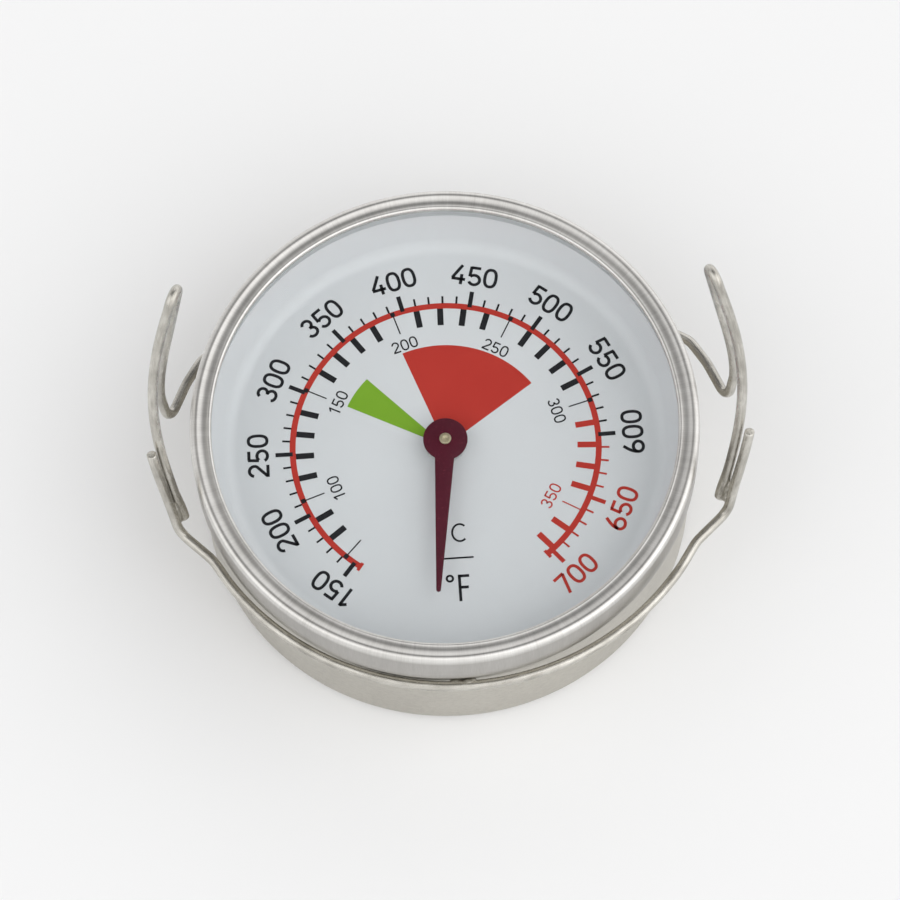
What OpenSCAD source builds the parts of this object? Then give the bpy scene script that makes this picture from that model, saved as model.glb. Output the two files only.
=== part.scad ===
// Bimetal surface thermometer: a drawn cup under a press-on bezel, a white stamped dial behind
// flat glass, and two upright wire handles bent from the wires that run round the cup.
// Millimetres. +Z is up, 12 o'clock on the dial is +Y, and the origin is the middle of the base.

/* [Case] */
// Outer radius of the bezel
bezel_r = 37.85; // [31:0.05:46]
// Height of the bezel's crest above the base
case_h = 28.3; // [23.5:0.1:34]
// Sheet thickness of the cup
cup_t = 0.5; // [0.4:0.05:0.7]
// Outside radius of the cup's bottom corner
cup_corner_r = 1.5; // [1:0.25:3]
// Sheet thickness of the bezel
bezel_t = 0.6; // [0.4:0.05:0.8]
// Open gap between the bezel's skirt and the cup
skirt_gap = 0.25; // [0.2:0.05:0.9]
// Height of the bezel's skirt
skirt_h = 7.3; // [6.5:0.1:9]
// Width of the bezel's top face
rim_w = 3.2; // [2.6:0.1:4]
// Drop of the top face from its crest to its inner edge
rim_drop = 0.5; // [0.3:0.1:1]

/* [Dial and glass] */
// Depth of the dial face below the bezel's crest
dial_depth = 10.1; // [9:0.1:11.5]
// Sheet thickness of the dial pan
dial_t = 0.4; // [0.3:0.05:0.6]
// Width of the sloping wall round the flat dial
pan_slope_w = 2.1; // [1.8:0.1:3]
// Thickness of the lens
lens_t = 1.7; // [1.2:0.1:2.2]
// Thickness of the gasket under the lens
gasket_t = 0.6; // [0.4:0.1:0.8]
// Seat width of the gasket
gasket_w = 1.5; // [1:0.1:1.8]

/* [Pointer] */
// Angle of the pointer at room temperature, anticlockwise from +X
pointer_rest_deg = 265.6; // [250:0.1:280]
// Reach of the pointer from the spindle's axis
pointer_len = 24.3; // [18:0.1:30]
// Radius of the pointer's hub
hub_r = 3.33; // [2.8:0.05:4]
// Width of the pointer's blade at the hub
blade_root_w = 2.9; // [2.2:0.1:3.4]
// Width of the pointer's blade at its tip
blade_tip_w = 0.7; // [0.5:0.1:1.2]
// Sheet thickness of the pointer
pointer_t = 0.4; // [0.3:0.05:0.6]
// Gap between the dial face and the pointer
pointer_gap = 2.65; // [2:0.05:3.2]
// Radius of the boss under the hub
boss_r = 3.15; // [2.6:0.05:3.8]
// Height of the boss under the hub
boss_h = 1.5; // [1:0.1:1.9]

/* [Movement] */
// Diameter of the spindle
spindle_d = 1.6; // [1.2:0.05:2]
// Diameter of the spindle's lower pivot
pivot_d = 1; // [0.7:0.05:1.2]
// Running clearance on the spindle, radial
running_gap = 0.03; // [0.02:0.005:0.06]
// Turns of bimetal strip
coil_turns = 6; // [4:1:7]
// Thickness of the bimetal strip
strip_t = 0.4; // [0.3:0.05:0.5]
// Gap between the coil's eye and the collet it is tacked to
eye_gap = 0.15; // [0.1:0.05:0.3]
// Height of the bimetal strip
strip_h = 4; // [3:0.1:5]
// Radius of the spiral's outer end
coil_r = 10.5; // [9:0.1:13]
// Radius of the collet in the coil's eye
collet_r = 1.9; // [1.6:0.05:2.3]
// Room between the bridge's top face and the underside of the dial
bridge_room = 2.4; // [2:0.1:2.6]
// Room between the coil's outer end and the bridge's legs
coil_room = 4.5; // [4:0.1:7]
// Width of the bridge strap
bridge_w = 8; // [7:0.5:10]
// Thickness of the bridge strap
bridge_t = 0.8; // [0.6:0.05:1]
// Shank diameter of the bridge rivets
rivet_d = 2; // [1.6:0.1:2.4]

/* [Wires] */
// Diameter of the wire
wire_d = 1.5; // [1.2:0.05:1.8]
// Drop of the wires' centreline below the bezel's skirt
ring_drop = 3.3; // [1.5:0.1:4.5]
// How much wider than the cup the front wire is bent, radius over radius
front_slack = 3.3; // [2:0.1:4.5]
// How much wider than the cup the rear wire is bent, radius over radius
rear_slack = 1; // [0.5:0.1:2]
// How far to the right of the axis the rear wire is welded
ring_offset = 0.6; // [0:0.05:1]
// How far to the right of the axis the front wire is welded
front_offset = 0.75; // [0.6:0.05:1]
// Where the front wire bends out to its tail, degrees forward of +X
front_leave_deg = 29; // [26:1:33]
// Where the rear wire bends away from the cup, degrees behind +X
rear_leave_deg = 28; // [25:0.5:32]
// Way the rear wire leaves the cup, degrees outward from straight forward
rear_out_deg = 61; // [50:1:66]
// Length of rear wire that runs that way
rear_out_run = 3; // [2.4:0.1:4]
// Bend radius of the wires' corners, to the centreline
corner_r = 2.2; // [1.6:0.1:3]
// Bend radius at the rear leg's foot, to the centreline
foot_r = 1.4; // [1.2:0.1:2.2]

/* [Handle loops] */
// Height of the loops' highest centreline above the ring
loop_h = 50.6; // [42:0.1:62]
// How far the loops' feet stand out from the bezel
loop_foot_out = 3.55; // [2.8:0.05:5]
// How far the loops' tops lean in over their feet
loop_lean_in = 3.4; // [1:0.1:5]
// Outward bow of the legs at half height
loop_bow = 1.3; // [0.5:0.1:3]
// Backward lean of the loops, per unit of height
loop_lean_back = 0.12; // [0:0.01:0.2]
// How far the loops' feet are centred in front of the axis
loop_foot_forward = 1.6; // [0:0.1:2]
// How far the rear leg's foot is drawn in under its leg
rear_foot_in = 0.8; // [0:0.1:1.2]
// How far the rear leg's foot is drawn forward under its leg
rear_foot_forward = 1.3; // [0:0.1:1.6]
// Half the spread of each loop's feet
foot_half_spread = 9.2; // [7:0.1:11]
// Radius of the U-turn at the top of a loop
u_turn_r = 1.5; // [1.3:0.1:3]
// Twist of a loop at its feet, front leg outward
foot_twist = -9.1; // [-12:0.1:0]
// Twist of a loop at its top, front leg outward
top_twist = 24.9; // [0:0.1:30]
// Height of the turned-up tails above the ring
tail_h = 19.2; // [14:0.1:24]
// Where a tail stands round its leg, degrees forward of straight outward
tail_turn = 50; // [0:1:70]
// Gap between a tail and its leg, closed by the weld
tail_gap = 0.13; // [0.1:0.01:0.25]
// How far a tail's free end springs away from its leg
tail_splay = 0.35; // [0:0.05:0.8]

/* [Hidden] */
$fn = 96;

STEEL = [0.72, 0.71, 0.69];
BRASS = [0.78, 0.66, 0.38];
seat_gap = 0.05;   // clearance between pieces that sit together in one body
push_fit = 0.02;   // radial clearance of pieces pressed on the spindle
end_play = 0.15;   // axial play of the spindle

// Case, from the outside in
cup_r = bezel_r - bezel_t - skirt_gap;
cup_in_r = cup_r - cup_t;
bezel_in_r = bezel_r - bezel_t;
flange_r = bezel_in_r - seat_gap;
sight_r = bezel_r - rim_w;
skirt_z = case_h - skirt_h;
crest_r = 0.7;     // outer rounding of the bezel
lip_r = 0.45;      // inner rounding of the bezel

// Stack of clamped pieces, from the bezel's lip down
lens_top_z = case_h - rim_drop - bezel_t - seat_gap;
lens_z = lens_top_z - lens_t;
gasket_z = lens_z - gasket_t;
pan_flange_z = gasket_z - dial_t;
cup_top_z = pan_flange_z;

// Dial
dial_z = case_h - dial_depth;
pan_top_r = sight_r + 0.3;
dial_r = pan_top_r - pan_slope_w;
dial_hole_r = spindle_d / 2 + 0.7;

// Pointer stack on the spindle
pointer_z = dial_z + pointer_gap;
boss_z = pointer_z - boss_h;
spindle_r = spindle_d / 2;
staked_r = spindle_r + 0.11;
staked_h = 0.25;

// Movement, from the cup's floor up
floor_z = cup_t;
bearing_h = 1.9;
bearing_r = 2.6;
bearing_spigot_r = 1.5;
pivot_r = pivot_d / 2;
pivot_z = floor_z + 0.35;
shoulder_z = floor_z + bearing_h + end_play;
coil_z = shoulder_z + 1.2;
collet_rise = 0.6;
bridge_top_z = dial_z - dial_t - bridge_room;
bridge_h = bridge_top_z - floor_z;
bridge_half_span = coil_r + coil_room;
bush_spigot_r = 2;
bush_flange_r = 3;
bush_flange_t = 0.8;
washer_z = bridge_top_z + bush_flange_t + end_play;
washer_t = 0.3;
clip_z = washer_z + washer_t;
clip_t = 0.3;
groove_r = spindle_r - 0.2;
coil_eye_r = collet_r + eye_gap + strip_t / 2;
post_r = 0.9;
post_at = coil_r + strip_t / 2 + seat_gap + post_r;
post_pin_r = 0.6;
foot_len = 5.5;
rivet_at = bridge_half_span + foot_len / 2 + 0.2;
rivet_head_r = rivet_d * 0.9;
rivet_head_h = 0.6;

// Wires
ring_z = skirt_z - ring_drop;
wire_r = wire_d / 2;
touch_r = cup_r + wire_r + seat_gap;
wire_sides = 10;
loop_foot_x = bezel_r + loop_foot_out;
loop_top_x = loop_foot_x - loop_lean_in;
u_turn_h = loop_h - u_turn_r;
weld_r = wire_r * 1.25;

// Points on an arc of radius r about c, from angle a0 to a1 in n steps
function arc(c, r, a0, a1, n) =
    [for (i = [0:n]) let (a = a0 + (a1 - a0) * i / n) c + r * [cos(a), sin(a)]];

function unit(v) = v / norm(v);
function mix(a, b, t) = a + (b - a) * t;

// Vectors of every ring's first radius, carried along the path without twist
function carried(path, tangents) =
    let (up = abs(unit(tangents[0])[2]) < 0.9 ? [0, 0, 1] : [1, 0, 0])
    [for (i = 0, n = unit(cross(tangents[0], up)); i < len(path);
        i = i + 1,
        n = i < len(path) ? unit(n - (n * tangents[i]) * tangents[i]) : n) n];

function tangents_of(path) =
    [for (i = [0:len(path) - 1])
        unit(path[min(i + 1, len(path) - 1)] - path[max(i - 1, 0)])];

// Round bar along a path, of radius r or of one radius for each point
module bar(path, r, sides = wire_sides) {
    t = tangents_of(path);
    n = carried(path, t);
    count = len(path);
    points = [for (i = [0:count - 1], k = [0:sides - 1])
        let (a = 360 * k / sides)
        path[i] + (is_list(r) ? r[i] : r) * (cos(a) * n[i] + sin(a) * cross(t[i], n[i]))];
    walls = [for (i = [0:count - 2], k = [0:sides - 1])
        let (j = (k + 1) % sides)
        [i * sides + k, (i + 1) * sides + k, (i + 1) * sides + j, i * sides + j]];
    caps = [[for (k = [0:sides - 1]) k],
        [for (k = [sides - 1:-1:0]) (count - 1) * sides + k]];
    polyhedron(points, concat(walls, caps));
}

// Corner b between a and c, rounded to radius r in n steps
function corner(a, b, c, r, n = 5) =
    let (u = unit(a - b), v = unit(c - b), half = acos(u * v) / 2,
        centre = b + unit(u + v) * r / sin(half),
        from = b + u * r / tan(half) - centre, to = b + v * r / tan(half) - centre,
        sweep = acos(unit(from) * unit(to)))
    [for (i = [0:n]) let (s = sweep * i / n)
        centre + (sin(sweep - s) * from + sin(s) * to) / sin(sweep)];

// Centreline of the right-hand loop at share t of its height: side is 1 on the front leg and
// -1 on the rear leg
function leg(t, side) =
    let (spread = mix(foot_half_spread, u_turn_r, t),
        twist = mix(foot_twist, top_twist, t * t * (3 - 2 * t)))
    [mix(loop_foot_x, loop_top_x, t * t) + loop_bow * sin(180 * t)
            + side * spread * sin(twist),
        loop_lean_back * u_turn_h * t - loop_foot_forward - side * spread * cos(twist),
        ring_z + u_turn_h * t];

// The U-turn over the top, from the rear leg to the front leg
function u_turn() =
    let (middle = (leg(1, 1) + leg(1, -1)) / 2, reach = (leg(1, 1) - leg(1, -1)) / 2,
        rise = u_turn_r * unit([-0.12, loop_lean_back, 1]))
    [for (i = [1:9]) let (a = 18 * i) middle - reach * cos(a) + rise * sin(a)];

// Point on a wire's arc, which is wider than the cup and touches it only at side * 90 degrees:
// side is 1 on the rear wire and -1 on the front wire
function on_ring(deg, side) =
    let (slack = side > 0 ? rear_slack : front_slack,
        r = touch_r + norm([slack, side > 0 ? ring_offset : front_offset]))
    [r * cos(deg), r * sin(deg) - side * slack, ring_z];
function left(path) = [for (i = [len(path) - 1:-1:0])
    [-path[i][0], path[i][1], path[i][2]]];

// Right half of the rear wire, from behind the cup to the lower end of the front leg
leg_steps = 16;
tip_share = 0.018;
foot_share = 0.06;
function rear_half() =
    let (leave = on_ring(rear_leave_deg, 1),
        shoulder = leave + rear_out_run * [sin(rear_out_deg), -cos(rear_out_deg), 0],
        foot = leg(0, -1) - [rear_foot_in, rear_foot_forward, 0],
        rear_bend = mix(shoulder, foot, 0.4) + [0.35, 0.15, 0])
    concat([for (a = [90:-5:rear_leave_deg + 2]) on_ring(a, 1)],
        corner(on_ring(rear_leave_deg + 2, 1), leave, shoulder, corner_r, 3),
        corner(leave, shoulder, rear_bend, corner_r, 3),
        corner(shoulder, rear_bend, foot, corner_r * 1.4, 3),
        corner(rear_bend, foot, leg(foot_share, -1), foot_r),
        [for (i = [2:leg_steps]) leg(i / leg_steps, -1)], u_turn(),
        [for (i = [leg_steps:-1:1]) leg(i / leg_steps, 1)], [leg(tip_share, 1)]);

// The tail stands outside and in front of the front leg, and springs away at its free end
function tail(t) =
    leg(t * tail_h / u_turn_h, 1)
        + (wire_d + tail_gap + tail_splay * t * t) * [cos(tail_turn), -sin(tail_turn), 0];

function front_half() =
    let (leave = on_ring(-front_leave_deg, -1), foot = tail(0))
    concat([for (a = [-90:5:-front_leave_deg - 6]) on_ring(a, -1)],
        corner(on_ring(-front_leave_deg - 5, -1), leave, foot, corner_r * 1.4, 3),
        corner(leave, foot, tail(0.2), corner_r),
        [for (i = [2:8]) tail(i / 8)]);

// Spiral centreline of the coil in plan, from its eye to its outer end at +X
function spiral(turn) = mix(coil_eye_r, coil_r, turn / coil_turns);
coil_steps = 28;   // straight facets of strip to a turn
function strip_edge(offset) =
    [for (i = [0:coil_turns * coil_steps]) let (turn = i / coil_steps,
        r = spiral(turn) + offset, a = 360 * (turn - coil_turns)) r * [cos(a), sin(a)]];

function reversed(list) = [for (i = [len(list) - 1:-1:0]) list[i]];

module case_cup() {
    inner_corner = cup_corner_r - cup_t;
    outline = concat([[0, 0]],
        arc([cup_r - cup_corner_r, cup_corner_r], cup_corner_r, -90, 0, 8),
        [[cup_r, cup_top_z - cup_t], [flange_r, cup_top_z - cup_t], [flange_r, cup_top_z]],
        [[cup_in_r, cup_top_z]],
        arc([cup_r - cup_corner_r, cup_corner_r], inner_corner, 0, -90, 8),
        [[0, cup_t]]);
    color(STEEL) difference() {
        rotate_extrude() polygon(outline);
        translate([0, 0, -1]) cylinder(r = bearing_spigot_r + push_fit, h = cup_t + 2);
        for (side = [-1, 1])
            translate([side * rivet_at, 0, -1])
                cylinder(d = rivet_d + 2 * push_fit, h = cup_t + 2);
    }
}

// Skirt, rounded crest, top face sloping in to a rounded lip, and a bead that snaps under the
// cup's flange
module bezel_ring() {
    bead = skirt_gap - seat_gap;
    bead_z = cup_top_z - cup_t - seat_gap;
    outline = concat(
        [[bezel_in_r, skirt_z], [bezel_r, skirt_z]],
        arc([bezel_r - crest_r, case_h - crest_r], crest_r, 0, 90, 8),
        arc([sight_r + lip_r, case_h - rim_drop - lip_r], lip_r, 90, 180, 6),
        [[sight_r, lens_top_z + seat_gap],
            [bezel_in_r, lens_top_z + seat_gap], [bezel_in_r, bead_z],
            [bezel_in_r - bead, bead_z - bead], [bezel_in_r, bead_z - 2 * bead]]);
    color(STEEL) rotate_extrude() polygon(outline);
}

module lens() {
    color([0.85, 0.92, 0.94, 0.3]) translate([0, 0, lens_z])
        cylinder(r = flange_r - seat_gap, h = lens_t);
}

module lens_gasket() {
    color([0.2, 0.2, 0.2]) translate([0, 0, gasket_z]) difference() {
        cylinder(r = flange_r - seat_gap, h = gasket_t);
        translate([0, 0, -1]) cylinder(r = flange_r - seat_gap - gasket_w, h = gasket_t + 2);
    }
}

// Flat dial, sloping wall and clamped flange, all one stamping
module dial_pan() {
    outline = [[dial_hole_r, dial_z - dial_t], [dial_r + 0.2, dial_z - dial_t],
        [pan_top_r + dial_t, pan_flange_z], [flange_r - seat_gap, pan_flange_z],
        [flange_r - seat_gap, gasket_z], [pan_top_r, gasket_z],
        [dial_r, dial_z], [dial_hole_r, dial_z]];
    color([0.88, 0.9, 0.92]) rotate_extrude() polygon(outline);
}

module pointer() {
    reach = pointer_len - blade_tip_w / 2;
    color([0.33, 0.06, 0.14]) translate([0, 0, pointer_z]) rotate(pointer_rest_deg)
        linear_extrude(pointer_t) difference() {
            union() {
                circle(r = hub_r);
                translate([reach, 0]) circle(d = blade_tip_w, $fn = 24);
                polygon([[0, -blade_root_w / 2], [reach, -blade_tip_w / 2],
                    [reach, blade_tip_w / 2], [0, blade_root_w / 2]]);
            }
            circle(r = spindle_r + push_fit, $fn = 32);
        }
}

module pointer_boss() {
    color([0.75, 0.75, 0.74]) translate([0, 0, boss_z]) difference() {
        cylinder(r = boss_r, h = boss_h);
        translate([0, 0, -1]) cylinder(r = spindle_r + push_fit, h = boss_h + 2);
    }
}

// Lower pivot, shaft with the clip's groove, and the end staked over the pointer
module spindle() {
    stake_z = pointer_z + pointer_t;
    punch_r = 0.35;
    color(BRASS) difference() {
        union() {
            translate([0, 0, pivot_z]) cylinder(r = pivot_r, h = shoulder_z - pivot_z);
            translate([0, 0, shoulder_z]) cylinder(r = spindle_r, h = clip_z - shoulder_z);
            translate([0, 0, clip_z]) cylinder(r = groove_r, h = clip_t);
            translate([0, 0, clip_z + clip_t])
                cylinder(r = spindle_r, h = stake_z - clip_z - clip_t);
            translate([0, 0, stake_z])
                cylinder(r1 = staked_r, r2 = staked_r - 0.12, h = staked_h);
        }
        translate([0, 0, stake_z + staked_h - 0.18]) cylinder(r1 = 0.05, r2 = punch_r, h = 0.2);
    }
}

module coil_collet() {
    color(BRASS) translate([0, 0, coil_z - collet_rise]) difference() {
        cylinder(r = collet_r, h = strip_h + 2 * collet_rise);
        translate([0, 0, -1])
            cylinder(r = spindle_r + push_fit, h = strip_h + 2 * collet_rise + 2);
    }
}

module thrust_washer() {
    color(STEEL) translate([0, 0, washer_z]) difference() {
        cylinder(r = spindle_r + 1, h = washer_t);
        translate([0, 0, -1]) cylinder(r = spindle_r + push_fit, h = washer_t + 2);
    }
}

// Open clip that springs into the spindle's groove
module retaining_clip() {
    color(STEEL) translate([0, 0, clip_z]) difference() {
        cylinder(r = spindle_r + 0.9, h = clip_t);
        translate([0, 0, -1]) cylinder(r = groove_r + push_fit, h = clip_t + 2);
        translate([0, -groove_r * 0.8, -1])
            cube([spindle_r + 2, groove_r * 1.6, clip_t + 2]);
    }
}

module bimetal_coil() {
    color([0.6, 0.55, 0.5]) translate([0, 0, coil_z]) linear_extrude(strip_h)
        polygon(concat(strip_edge(strip_t / 2), reversed(strip_edge(-strip_t / 2))));
}

// Post that hangs from the bridge beside the coil's outer end, riveted through the strap
module coil_anchor_post() {
    foot_z = coil_z - 0.5;
    strap_z = bridge_top_z - bridge_t;
    color(STEEL) translate([post_at, 0, 0]) {
        translate([0, 0, foot_z]) cylinder(r = post_r, h = strap_z - foot_z);
        translate([0, 0, strap_z]) cylinder(r = post_pin_r, h = bridge_t);
        translate([0, 0, bridge_top_z]) cylinder(r = post_pin_r + 0.35, h = 0.4);
    }
}

// Flat strap bent over the coil, with a foot either side
module movement_bridge() {
    reach = bridge_half_span + foot_len;
    inner = bridge_half_span - bridge_t;
    profile = [[-reach, 0], [-inner, 0], [-inner, bridge_h - bridge_t],
        [inner, bridge_h - bridge_t], [inner, 0], [reach, 0], [reach, bridge_t],
        [bridge_half_span, bridge_t], [bridge_half_span, bridge_h],
        [-bridge_half_span, bridge_h], [-bridge_half_span, bridge_t], [-reach, bridge_t]];
    color(STEEL) translate([0, 0, floor_z]) difference() {
        translate([0, bridge_w / 2, 0]) rotate([90, 0, 0])
            linear_extrude(bridge_w) polygon(profile);
        translate([0, 0, bridge_h / 2])
            cylinder(r = bush_spigot_r + push_fit, h = bridge_h);
        translate([post_at, 0, bridge_h / 2])
            cylinder(r = post_pin_r + push_fit, h = bridge_h);
        for (side = [-1, 1])
            translate([side * rivet_at, 0, -1])
                cylinder(d = rivet_d + 2 * push_fit, h = bridge_t + 2);
    }
}

// Two rivets, flush under the base, headed over the bridge's feet
module bridge_rivets() {
    head_z = floor_z + bridge_t;
    color(STEEL) for (side = [-1, 1]) translate([side * rivet_at, 0, 0]) {
        cylinder(d = rivet_d, h = head_z);
        translate([0, 0, head_z]) cylinder(r = rivet_head_r, h = rivet_head_h / 2);
        translate([0, 0, head_z + rivet_head_h / 2])
            cylinder(r1 = rivet_head_r, r2 = rivet_head_r * 0.6, h = rivet_head_h / 2);
    }
}

module upper_bush() {
    drop = 0.6;
    color(BRASS) difference() {
        union() {
            translate([0, 0, bridge_top_z - bridge_t - drop])
                cylinder(r = bush_spigot_r, h = bridge_t + drop);
            translate([0, 0, bridge_top_z]) cylinder(r = bush_flange_r, h = bush_flange_t);
        }
        translate([0, 0, bridge_top_z - bridge_h / 2])
            cylinder(r = spindle_r + running_gap, h = bridge_h);
    }
}

// Cup bearing, its spigot flush in the base
module lower_bearing() {
    color(BRASS) difference() {
        union() {
            cylinder(r = bearing_spigot_r, h = floor_z);
            translate([0, 0, floor_z]) cylinder(r = bearing_r, h = bearing_h);
        }
        translate([0, 0, pivot_z - end_play])
            cylinder(r = pivot_r + running_gap, h = bearing_h + 1);
    }
}

module front_ring_wire() {
    right = front_half();
    color(STEEL) translate([front_offset, 0, 0])
        bar(concat(left([for (i = [1:len(right) - 1]) right[i]]), right), wire_r);
}

module handle_wire() {
    right = rear_half();
    color(STEEL) translate([ring_offset, 0, 0])
        bar(concat(left([for (i = [1:len(right) - 1]) right[i]]), right), wire_r);
}

// Lumpy bead of weld metal between two points, r at its fullest
bead_swell = [0.35, 0.75, 0.95, 1, 0.86, 0.9, 1, 0.94, 0.8, 0.4];
module bead_of_weld(from, to, r) {
    last = len(bead_swell) - 1;
    bar([for (i = [0:last]) mix(from, to, i / last)], r * bead_swell, 12);
}

module handle_weld() {
    middle = function (t) (leg(t, 1) + tail(t * u_turn_h / tail_h)) / 2;
    bead_of_weld(middle(tip_share + 0.01), middle(tip_share + 0.11), wire_r * 0.9);
}

weld_offset = (ring_offset + front_offset) / 2;
module right_handle_weld() {
    color(STEEL) translate([weld_offset, 0, 0]) handle_weld();
}

module left_handle_weld() {
    color(STEEL) translate([weld_offset, 0, 0]) mirror([1, 0, 0]) handle_weld();
}

// Welds at the front and back of the ring: a lump of weld metal that wraps the wire and runs
// on to the cup's wall
module ring_weld(deg) {
    half = 4.2;
    place = function (a) (touch_r - seat_gap) * [cos(a), sin(a), 0] + [0, 0, ring_z];
    bead_of_weld(place(deg - half), place(deg + half), weld_r);
}

module front_ring_weld() {
    color(STEEL) ring_weld(-88);
}

module rear_ring_weld() {
    color(STEEL) ring_weld(90);
}

case_cup();
bezel_ring();
lens();
lens_gasket();
dial_pan();
pointer();
pointer_boss();
spindle();
coil_collet();
thrust_washer();
retaining_clip();
bimetal_coil();
coil_anchor_post();
movement_bridge();
bridge_rivets();
upper_bush();
lower_bearing();
front_ring_wire();
handle_wire();
left_handle_weld();
right_handle_weld();
front_ring_weld();
rear_ring_weld();
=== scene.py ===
"""Looks of a bimetal surface thermometer: a brushed bezel over a drawn cup, a printed dial
behind flat glass, a dark red pointer and two upright wire handles."""

import math

import bpy
import numpy as np
from mathutils import Matrix


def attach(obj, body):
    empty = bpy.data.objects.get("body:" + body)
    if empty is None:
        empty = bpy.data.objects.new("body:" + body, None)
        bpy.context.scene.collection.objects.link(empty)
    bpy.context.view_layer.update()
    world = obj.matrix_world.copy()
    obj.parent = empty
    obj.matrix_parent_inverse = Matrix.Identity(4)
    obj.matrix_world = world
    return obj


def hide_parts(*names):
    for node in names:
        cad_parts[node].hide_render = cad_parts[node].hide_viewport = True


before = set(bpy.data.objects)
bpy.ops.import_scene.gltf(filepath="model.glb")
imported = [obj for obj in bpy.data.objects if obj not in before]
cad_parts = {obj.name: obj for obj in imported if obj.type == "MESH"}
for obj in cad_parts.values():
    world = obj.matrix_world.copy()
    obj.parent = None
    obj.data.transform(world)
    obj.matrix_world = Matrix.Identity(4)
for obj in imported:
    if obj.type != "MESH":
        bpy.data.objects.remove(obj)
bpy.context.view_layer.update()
MM = 0.001

# Sizes in millimetres, as the part has them
BEZEL_R, CASE_H, CUP_T, CUP_CORNER = 37.85, 28.3, 0.5, 1.5
BEZEL_T, SKIRT_GAP, SKIRT_H, RIM_W, RIM_DROP = 0.6, 0.25, 7.3, 3.2, 0.5
DIAL_Z, DIAL_T, PAN_SLOPE = CASE_H - 10.1, 0.4, 2.1
LENS_T, GASKET_T, SEAT, END_PLAY = 1.7, 0.6, 0.05, 0.15
CUP_R = BEZEL_R - BEZEL_T - SKIRT_GAP
BEZEL_IN = BEZEL_R - BEZEL_T
FLANGE_R = BEZEL_IN - SEAT
SEATED_R, GASKET_W = FLANGE_R - SEAT, 1.5
SIGHT_R = BEZEL_R - RIM_W
SKIRT_Z = CASE_H - SKIRT_H
LENS_TOP = CASE_H - RIM_DROP - BEZEL_T - SEAT
LENS_Z = LENS_TOP - LENS_T
GASKET_Z = LENS_Z - GASKET_T
FLANGE_Z = GASKET_Z - DIAL_T
PAN_TOP_R = SIGHT_R + 0.3
DIAL_R = PAN_TOP_R - PAN_SLOPE
POINTER_DEG, POINTER_LEN, HUB_R = 265.6, 24.3, 3.33
POINTER_Z, POINTER_T = DIAL_Z + 2.65, 0.4
BOSS_R, BOSS_H, SPINDLE_R, PIVOT_R = 3.15, 1.5, 0.8, 0.5
PIVOT_Z = CUP_T + 0.35
SHOULDER_Z = CUP_T + 1.9 + END_PLAY
CLIP_Z = DIAL_Z - DIAL_T - 2.4 + 0.8 + END_PLAY + 0.3
WIRE_R = 0.75
RING_Z, FRONT_SLACK, REAR_SLACK = SKIRT_Z - 3.3, 3.3, 1.0
REAR_OFFSET, FRONT_OFFSET = 0.6, 0.75
TOUCH_R = CUP_R + WIRE_R + SEAT
CORNER_R, FOOT_R, FRONT_LEAVE, REAR_LEAVE = 2.2, 1.4, 29, 28
REAR_OUT, REAR_RUN = math.radians(61), 3.0
TIP_SHARE, FOOT_SHARE = 0.018, 0.06
LOOP_FOOT_X = BEZEL_R + 3.55
REAR_FOOT_IN, REAR_FOOT_FORWARD = 0.8, 1.3
LOOP_TOP_X, LOOP_BOW = LOOP_FOOT_X - 3.4, 1.3
LEAN_BACK, FOOT_FORWARD, FOOT_SPREAD, U_TURN_R = 0.12, 1.6, 9.2, 1.5
FOOT_TWIST, TOP_TWIST = math.radians(-9.1), math.radians(24.9)
U_TURN_H = 50.6 - U_TURN_R
TAIL_H, TAIL_SPLAY, TAIL_GAP, TAIL_TURN = 19.2, 0.35, 0.13, math.radians(50)


# ---------------------------------------------------------------- materials


class Value:
    """A socket of a finish. Arithmetic on it adds Math nodes."""

    def __init__(self, finish, socket):
        self.finish, self.socket = finish, socket

    def math(self, operation, *values, clamp=False):
        return self.finish.node(
            "ShaderNodeMath",
            {"operation": operation, "use_clamp": clamp},
            dict(enumerate(values)),
        )

    def __add__(self, other):
        return self.math("ADD", self, other)

    __radd__ = __add__

    def __sub__(self, other):
        return self.math("SUBTRACT", self, other)

    def __rsub__(self, other):
        return self.math("SUBTRACT", other, self)

    def __mul__(self, other):
        return self.math("MULTIPLY", self, other)

    __rmul__ = __mul__

    def __truediv__(self, other):
        return self.math("DIVIDE", self, other)

    def __pow__(self, other):
        return self.math("POWER", self, other)

    def clamped(self):
        return self.math("ADD", self, 0.0, clamp=True)


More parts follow.
